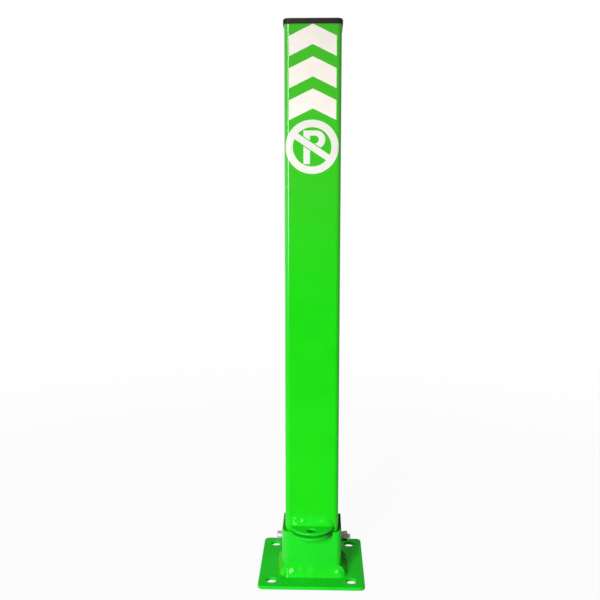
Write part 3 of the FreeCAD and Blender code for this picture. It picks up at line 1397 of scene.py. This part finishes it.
@dataclass
class CrossBolt:
    """The cap screw that the post turns on, with a hexagon socket and a rolled thread at its end."""

    shank_radius: float = 2.95 * MM
    head_height: float = 6 * MM
    socket_width: float = 5 * MM
    socket_depth: float = 3 * MM
    mouth_share: float = 0.6
    mouth_depth: float = 0.3 * MM
    rim: float = 0.6 * MM
    rim_steps: int = 4
    chamfer: float = 0.2 * MM
    thread_pitch: float = 1 * MM
    thread_depth: float = 0.55 * MM
    thread_length: float = 24 * MM
    flank_slope: float = 1.3
    crest_flat: float = 0.12
    tip_length: float = 0.9 * MM
    tip_taper: float = 0.3 * MM
    steps_round: int = 60
    steps_per_turn: int = 10

    def build(self, workshop: Workshop) -> None:
        """Makes the bolt as one skin of rings from the socket's floor to the tip.

        Args:
            workshop: where pieces are made.
        """
        low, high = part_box("hinge_bolt")
        axis = Vector((0, (low.y + high.y) / 2, (low.z + high.z) / 2))
        work = bmesh.new()
        rings = []
        for x, radius in self.profile(low.x, high.x, (high.z - low.z) / 2):
            ring = []
            for index in range(self.steps_round):
                angle = 2 * math.pi * index / self.steps_round
                arm = Vector((0, math.cos(angle), math.sin(angle))) * radius(x, angle)
                ring.append(work.verts.new(axis + arm + Vector((x, 0, 0))))
            rings.append(ring)
        bridge(work, rings)
        for ring in (rings[0], rings[-1]):
            work.faces.new(ring)
        bmesh.ops.recalc_face_normals(work, faces=work.faces)
        workshop.piece("threaded_hinge_bolt", work, Body.BASE, ZincPlate(), "hinge_bolt")

    def profile(self, head_end: float, tip: float,
                head_radius: float) -> list[tuple[float, Callable[[float, float], float]]]:
        """The rings of the bolt: where each lies and its radius at each angle.

        Args:
            head_end: the head's outer face.
            tip: the shank's end.
            head_radius: the head's radius.

        Returns:
            The position along X and the radius function of each ring.
        """
        face_radius = head_radius - self.rim
        mouth = self.socket_width * self.mouth_share
        under_head = head_end + self.head_height
        rings = [
            (head_end + self.socket_depth, self.hexagon),
            (head_end + self.mouth_depth, self.hexagon),
            (head_end, self.plain(mouth)),
        ]
        for step in range(self.rim_steps + 1):
            turn = math.pi / 2 * step / self.rim_steps
            radius = face_radius + self.rim * math.sin(turn)
            rings.append((head_end + self.rim * (1 - math.cos(turn)), self.plain(radius)))
        rings += [
            (under_head - self.chamfer, self.plain(head_radius)),
            (under_head, self.plain(head_radius - self.chamfer)),
            (under_head, self.plain(self.shank_radius)),
        ]
        thread_start, thread_end = tip - self.thread_length, tip - self.tip_length
        turns = (thread_end - thread_start) / self.thread_pitch
        count = round(turns * self.steps_per_turn)
        for step in range(count + 1):
            rings.append((thread_start + (thread_end - thread_start) * step / count, self.thread))
        root = self.shank_radius - self.thread_depth
        rings += [(tip - self.chamfer, self.plain(root)), (tip, self.plain(root - self.tip_taper))]
        return rings

    def plain(self, radius: float) -> Callable[[float, float], float]:
        """A round ring of one radius."""
        return lambda x, angle: radius

    def hexagon(self, x: float, angle: float) -> float:
        """The socket's wall at an angle."""
        sixth = math.pi / 3
        return self.socket_width / 2 / math.cos((angle - sixth / 2) % sixth - sixth / 2)

    def thread(self, x: float, angle: float) -> float:
        """The thread's flank at a place and angle: a V with a flat crest and root.

        Args:
            x: the place along the bolt.
            angle: the direction from the bolt's axis.

        Returns:
            The radius there.
        """
        wave = abs(2 * ((x / self.thread_pitch - angle / (2 * math.pi)) % 1.0) - 1)
        flank = self.flank_slope * wave - self.crest_flat
        return self.shank_radius - self.thread_depth * min(1.0, max(0.0, flank))


@dataclass
class LooseHardware:
    """The washers and the nut, which keep their own shapes."""

    bright_nodes: tuple[str, ...] = ("head_washer",)
    shaded_nodes: tuple[str, ...] = ("nut_washer", "spring_washer", "hinge_nut")

    def build(self, workshop: Workshop) -> None:
        """Dresses each one in bright zinc, or in zinc darkened by painted shade.

        Args:
            workshop: where solids are dressed.
        """
        for node in self.bright_nodes:
            workshop.dress(node, ZincPlate())
        for node in self.shaded_nodes:
            workshop.dress(node, ShadedZinc())


# Post, cap and films


@dataclass
class PostShaft:
    """The square tube and its plastic end cap."""

    def build(self, workshop: Workshop) -> None:
        """Dresses the tube in powder coat and the cap in plastic."""
        workshop.dress("post_tube", PostCoat())
        workshop.dress("top_cap", MouldedPlastic())


@dataclass
class Chevrons:
    """The three reflective chevrons below the cap."""

    nodes: tuple[str, ...] = ("chevron_upper", "chevron_middle", "chevron_lower")

    def build(self, workshop: Workshop) -> None:
        """Dresses each one in film."""
        for node in self.nodes:
            workshop.dress(node, ReflectiveFilm())


@dataclass
class NoParkingSign:
    """The round sign in film: a ring with a slash, and the letter that the slash cuts in two."""

    centre_x: float = -0.6 * MM
    centre_z: float = 485.0 * MM
    ring_radius: float = 28.1 * MM
    ring_bore: float = 20.35 * MM
    slash_width: float = 6.8 * MM
    slash_angle: float = -33.4
    ring_steps: int = 144
    opening_steps: int = 60
    cut_gap: float = 0.95 * MM
    film: float = 0.3 * MM
    corner_radius: float = 5 * MM
    corner_cuts: int = 8
    stem_left: float = -9.1 * MM
    stem_width: float = 6.9 * MM
    letter_foot: float = -17.8 * MM
    letter_top: float = 17.0 * MM
    bowl_radius: float = 9.4 * MM
    bowl_right: float = 13.9 * MM
    counter_radius: float = 4.1 * MM
    counter_right: float = 7.0 * MM
    bowl_steps: int = 32
    counter_steps: int = 24

    def build(self, workshop: Workshop) -> None:
        """Makes the ring with its slash, and the letter in two halves.

        Args:
            workshop: where pieces are made.
        """
        rim = circle(Vector((0, 0)), self.ring_radius, self.ring_steps)
        self.apply(workshop, "sign_ring", self.flat([rim, self.opening(0), self.opening(180)]))
        angle = math.radians(self.slash_angle)
        across = Vector((math.sin(angle), -math.cos(angle), 0))
        half_gap = self.slash_width / 2 + self.cut_gap
        for name, side in (("sign_letter_upper", -across), ("sign_letter_lower", across)):
            letter = self.flat([self.letter_outline(), self.letter_counter()])
            slice_through(letter, side * half_gap, side, clear_inner=True)
            self.apply(workshop, name, letter)

    def flat(self, lines: list[list[Vector]]) -> bmesh.types.BMesh:
        """Makes a flat sheet about the sign's centre.

        Args:
            lines: the sheet's outer line, and then the lines of its openings.

        Returns:
            The sheet.
        """
        mesh = bmesh.new()
        edges = []
        for line in lines:
            verts = [mesh.verts.new(point.to_3d()) for point in line]
            edges += [mesh.edges.new((verts[index - 1], verts[index])) for index in range(len(verts))]
        bmesh.ops.triangle_fill(mesh, edges=edges, use_beauty=True)
        return mesh

    def opening(self, turn: float) -> list[Vector]:
        """The opening between the ring and one side of the slash.

        Args:
            turn: the side of the slash, as a turn from its upper side in degrees.

        Returns:
            The opening's line.
        """
        lift = math.degrees(math.asin(self.slash_width / 2 / self.ring_bore))
        start = self.slash_angle + turn + lift
        return arc(Vector((0, 0)), self.ring_bore, start, 180 - 2 * lift, self.opening_steps)

    def letter_outline(self) -> list[Vector]:
        """Draws the letter: a stem with a round bowl on its right.

        Returns:
            The letter's outer line.
        """
        bowl_centre = Vector((self.bowl_right - self.bowl_radius, self.letter_top - self.bowl_radius))
        stem_right = self.stem_left + self.stem_width
        return [
            Vector((self.stem_left, self.letter_top)),
            Vector((self.stem_left, self.letter_foot)),
            Vector((stem_right, self.letter_foot)),
            Vector((stem_right, self.letter_top - 2 * self.bowl_radius)),
            *arc(bowl_centre, self.bowl_radius, -90, 180, self.bowl_steps),
        ]

    def letter_counter(self) -> list[Vector]:
        """Draws the opening in the letter's bowl.

        Returns:
            The opening's line.
        """
        centre_z = self.letter_top - self.bowl_radius
        stem_right = self.stem_left + self.stem_width
        centre = Vector((self.counter_right - self.counter_radius, centre_z))
        return [
            Vector((stem_right, centre_z + self.counter_radius)),
            Vector((stem_right, centre_z - self.counter_radius)),
            *arc(centre, self.counter_radius, -90, 180, self.counter_steps),
        ]

    def apply(self, workshop: Workshop, name: str, sheet: bmesh.types.BMesh) -> None:
        """Lays a flat sheet on the post's front face and round its corners, as thick as the film.

        Args:
            workshop: where pieces are made.
            name: the new piece's name.
            sheet: the flat sheet, which is used up.
        """
        low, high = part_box("post_tube")
        flat_half = high.x - self.corner_radius
        for side in (-1, 1):
            for step in range(self.corner_cuts):
                place = side * (flat_half + self.corner_radius * step / self.corner_cuts) - self.centre_x
                slice_through(sheet, Vector((place, 0, 0)), Vector((1, 0, 0)))
        for vert in sheet.verts:
            across = vert.co.x + self.centre_x
            past = max(0.0, abs(across) - flat_half)
            turn = past / self.corner_radius
            x = math.copysign(abs(across) - past + self.corner_radius * math.sin(turn), across)
            vert.co = (x, low.y + self.corner_radius * (1 - math.cos(turn)), self.centre_z + vert.co.y)
        bmesh.ops.recalc_face_normals(sheet, faces=sheet.faces)
        if sum(face.normal.y * face.calc_area() for face in sheet.faces) > 0:
            bmesh.ops.reverse_faces(sheet, faces=sheet.faces)
        bmesh.ops.solidify(sheet, geom=sheet.faces[:], thickness=-self.film)
        workshop.piece(name, sheet, Body.POST, ShadedSignFilm())


# Studio


@dataclass(frozen=True)
class Softbox:
    """A rectangular lamp that is turned to the post's foot.

    Its azimuth goes from the front round by the left, in degrees, and its spread is in degrees too. It shows
    in reflections where it is mirrored.
    """

    name: str
    azimuth: float
    distance: float
    height: float
    size: Pair
    power: float
    spread: float
    mirrored: bool = True

    def hang(self) -> None:
        """Hangs the lamp, which the camera doesn't see."""
        lamp = bpy.data.lights.new(self.name, "AREA")
        lamp.shape = "RECTANGLE"
        lamp.size, lamp.size_y = self.size
        lamp.energy = self.power
        lamp.spread = math.radians(self.spread)
        softbox = bpy.data.objects.new(self.name, lamp)
        turn = math.radians(self.azimuth)
        place = Vector((-math.sin(turn), -math.cos(turn), 0)) * self.distance
        softbox.location = place + Vector((0, 0, self.height))
        softbox.rotation_euler = (-softbox.location).to_track_quat("-Z", "Y").to_euler()
        softbox.visible_camera = False
        softbox.visible_glossy = self.mirrored
        bpy.context.scene.collection.objects.link(softbox)


@dataclass
class Studio:
    """A pale floor that fades to white, a softbox at the front left, a low one behind and a dim surround."""

    floor_radius: float = 25.0
    floor_steps: int = 96
    floor_drop: float = 0.3 * MM
    floor_colour: Colour = (0.50, 0.50, 0.50)
    floor_white: float = 0.95
    fade_start: float = 0.30
    fade_end: float = 1.30
    surround_left: float = 0.46
    surround_right: float = 0.10
    softboxes: tuple[Softbox, ...] = (
        Softbox("tall softbox", azimuth=21.0, distance=1.50, height=0.60, size=(0.36, 0.90), power=4.0,
                spread=62.0),
        Softbox("low back softbox", azimuth=205.0, distance=1.50, height=0.12, size=(0.50, 0.50), power=6.0,
                spread=120.0, mirrored=False),
    )

    def build(self) -> None:
        """Makes the floor, the surround and the softboxes."""
        bpy.context.scene.view_settings.view_transform = "Standard"
        self.lay_floor()
        self.light_surround()
        for softbox in self.softboxes:
            softbox.hang()

    def seen(self, graph: ShaderGraph) -> Wire:
        """One for what the camera sees straight, mirrored or through glass, and nought for other light.

        Args:
            graph: the graph of the floor or the surround.

        Returns:
            The mask.
        """
        path = graph.node("ShaderNodeLightPath")
        straight, mirrored, through = (Wire(graph, path.outputs[f"Is {kind} Ray"])
                                       for kind in ("Camera", "Glossy", "Transmission"))
        return (straight + mirrored + through).at_most(1.0)

    def lay_floor(self) -> None:
        """Makes the floor, which is white in the distance and keeps the post's shadow near it."""
        work = bmesh.new()
        bmesh.ops.create_circle(work, cap_ends=True, segments=self.floor_steps, radius=self.floor_radius)
        floor = placed("floor", work)
        floor.location.z = -self.floor_drop
        material = bpy.data.materials.new("floor_paper")
        material.use_nodes = True
        floor.data.materials.append(material)
        graph = ShaderGraph(material.node_tree)
        distance = graph.length(graph.place())
        white = distance.eased(self.fade_start, self.fade_end).between(self.floor_white, 1.0)
        paper = graph.wire("ShaderNodeBsdfDiffuse", inputs={"Color": self.floor_colour})
        glow = graph.wire("ShaderNodeEmission", inputs={"Strength": 1.0})
        mixed = graph.wire("ShaderNodeMixShader", inputs={0: self.seen(graph) * white, 1: paper, 2: glow})
        graph.node("ShaderNodeOutputMaterial", inputs={"Surface": mixed})

    def light_surround(self) -> None:
        """Lights the post dimly from all round, mostly from the left, and shows a white background."""
        world = bpy.data.worlds.new("surround")
        world.use_nodes = True
        bpy.context.scene.world = world
        graph = ShaderGraph(world.node_tree)
        rightward = graph.along(graph.wire("ShaderNodeTexCoord", output="Generated"), Axis.X)
        middle = (self.surround_left + self.surround_right) / 2
        dim = middle - (self.surround_left - middle) * rightward
        strength = self.seen(graph).between(dim, 1.0)
        white = (1.0, 1.0, 1.0)
        background = graph.wire("ShaderNodeBackground", inputs={"Color": white, "Strength": strength})
        graph.node("ShaderNodeOutputWorld", inputs={"Surface": background})


@dataclass
class PhotoCamera:
    """The camera at the photograph's viewpoint, with its focal length in pixels of a square image."""

    place: tuple[float, float, float] = (12.0 * MM, -857.2 * MM, 447.5 * MM)
    yaw: float = -1.755
    pitch: float = 8.645
    focal_pixels: float = 770.1
    image_pixels: float = 600.0
    clip_start: float = 10 * MM

    def build(self) -> None:
        """Makes the camera and gives it to the scene."""
        data = bpy.data.cameras.new("photo camera")
        data.lens = data.sensor_width * self.focal_pixels / self.image_pixels
        data.clip_start = self.clip_start
        camera = bpy.data.objects.new("photo camera", data)
        yaw, pitch = math.radians(self.yaw), math.radians(self.pitch)
        level = math.cos(pitch)
        forward = Vector((math.sin(yaw) * level, math.cos(yaw) * level, -math.sin(pitch)))
        camera.location = self.place
        camera.rotation_euler = forward.to_track_quat("-Z", "Y").to_euler()
        bpy.context.scene.collection.objects.link(camera)
        bpy.context.scene.camera = camera


def main() -> None:
    """Builds the post's sub-assemblies in order, then the studio and the camera."""
    logging.basicConfig(level=logging.INFO, format="%(message)s")
    workshop = Workshop()
    assemblies = [
        GroundPlate(), HingeBracket(), FootWelds(), LockTabs(), TabWelds(), CrossBolt(), LooseHardware(),
        PostShaft(), Chevrons(), NoParkingSign(),
    ]
    for assembly in assemblies:
        assembly.build(workshop)
    Studio().build()
    PhotoCamera().build()
    LOG.info("%d pieces", len(workshop.made))


if __name__ == "__main__":
    main()
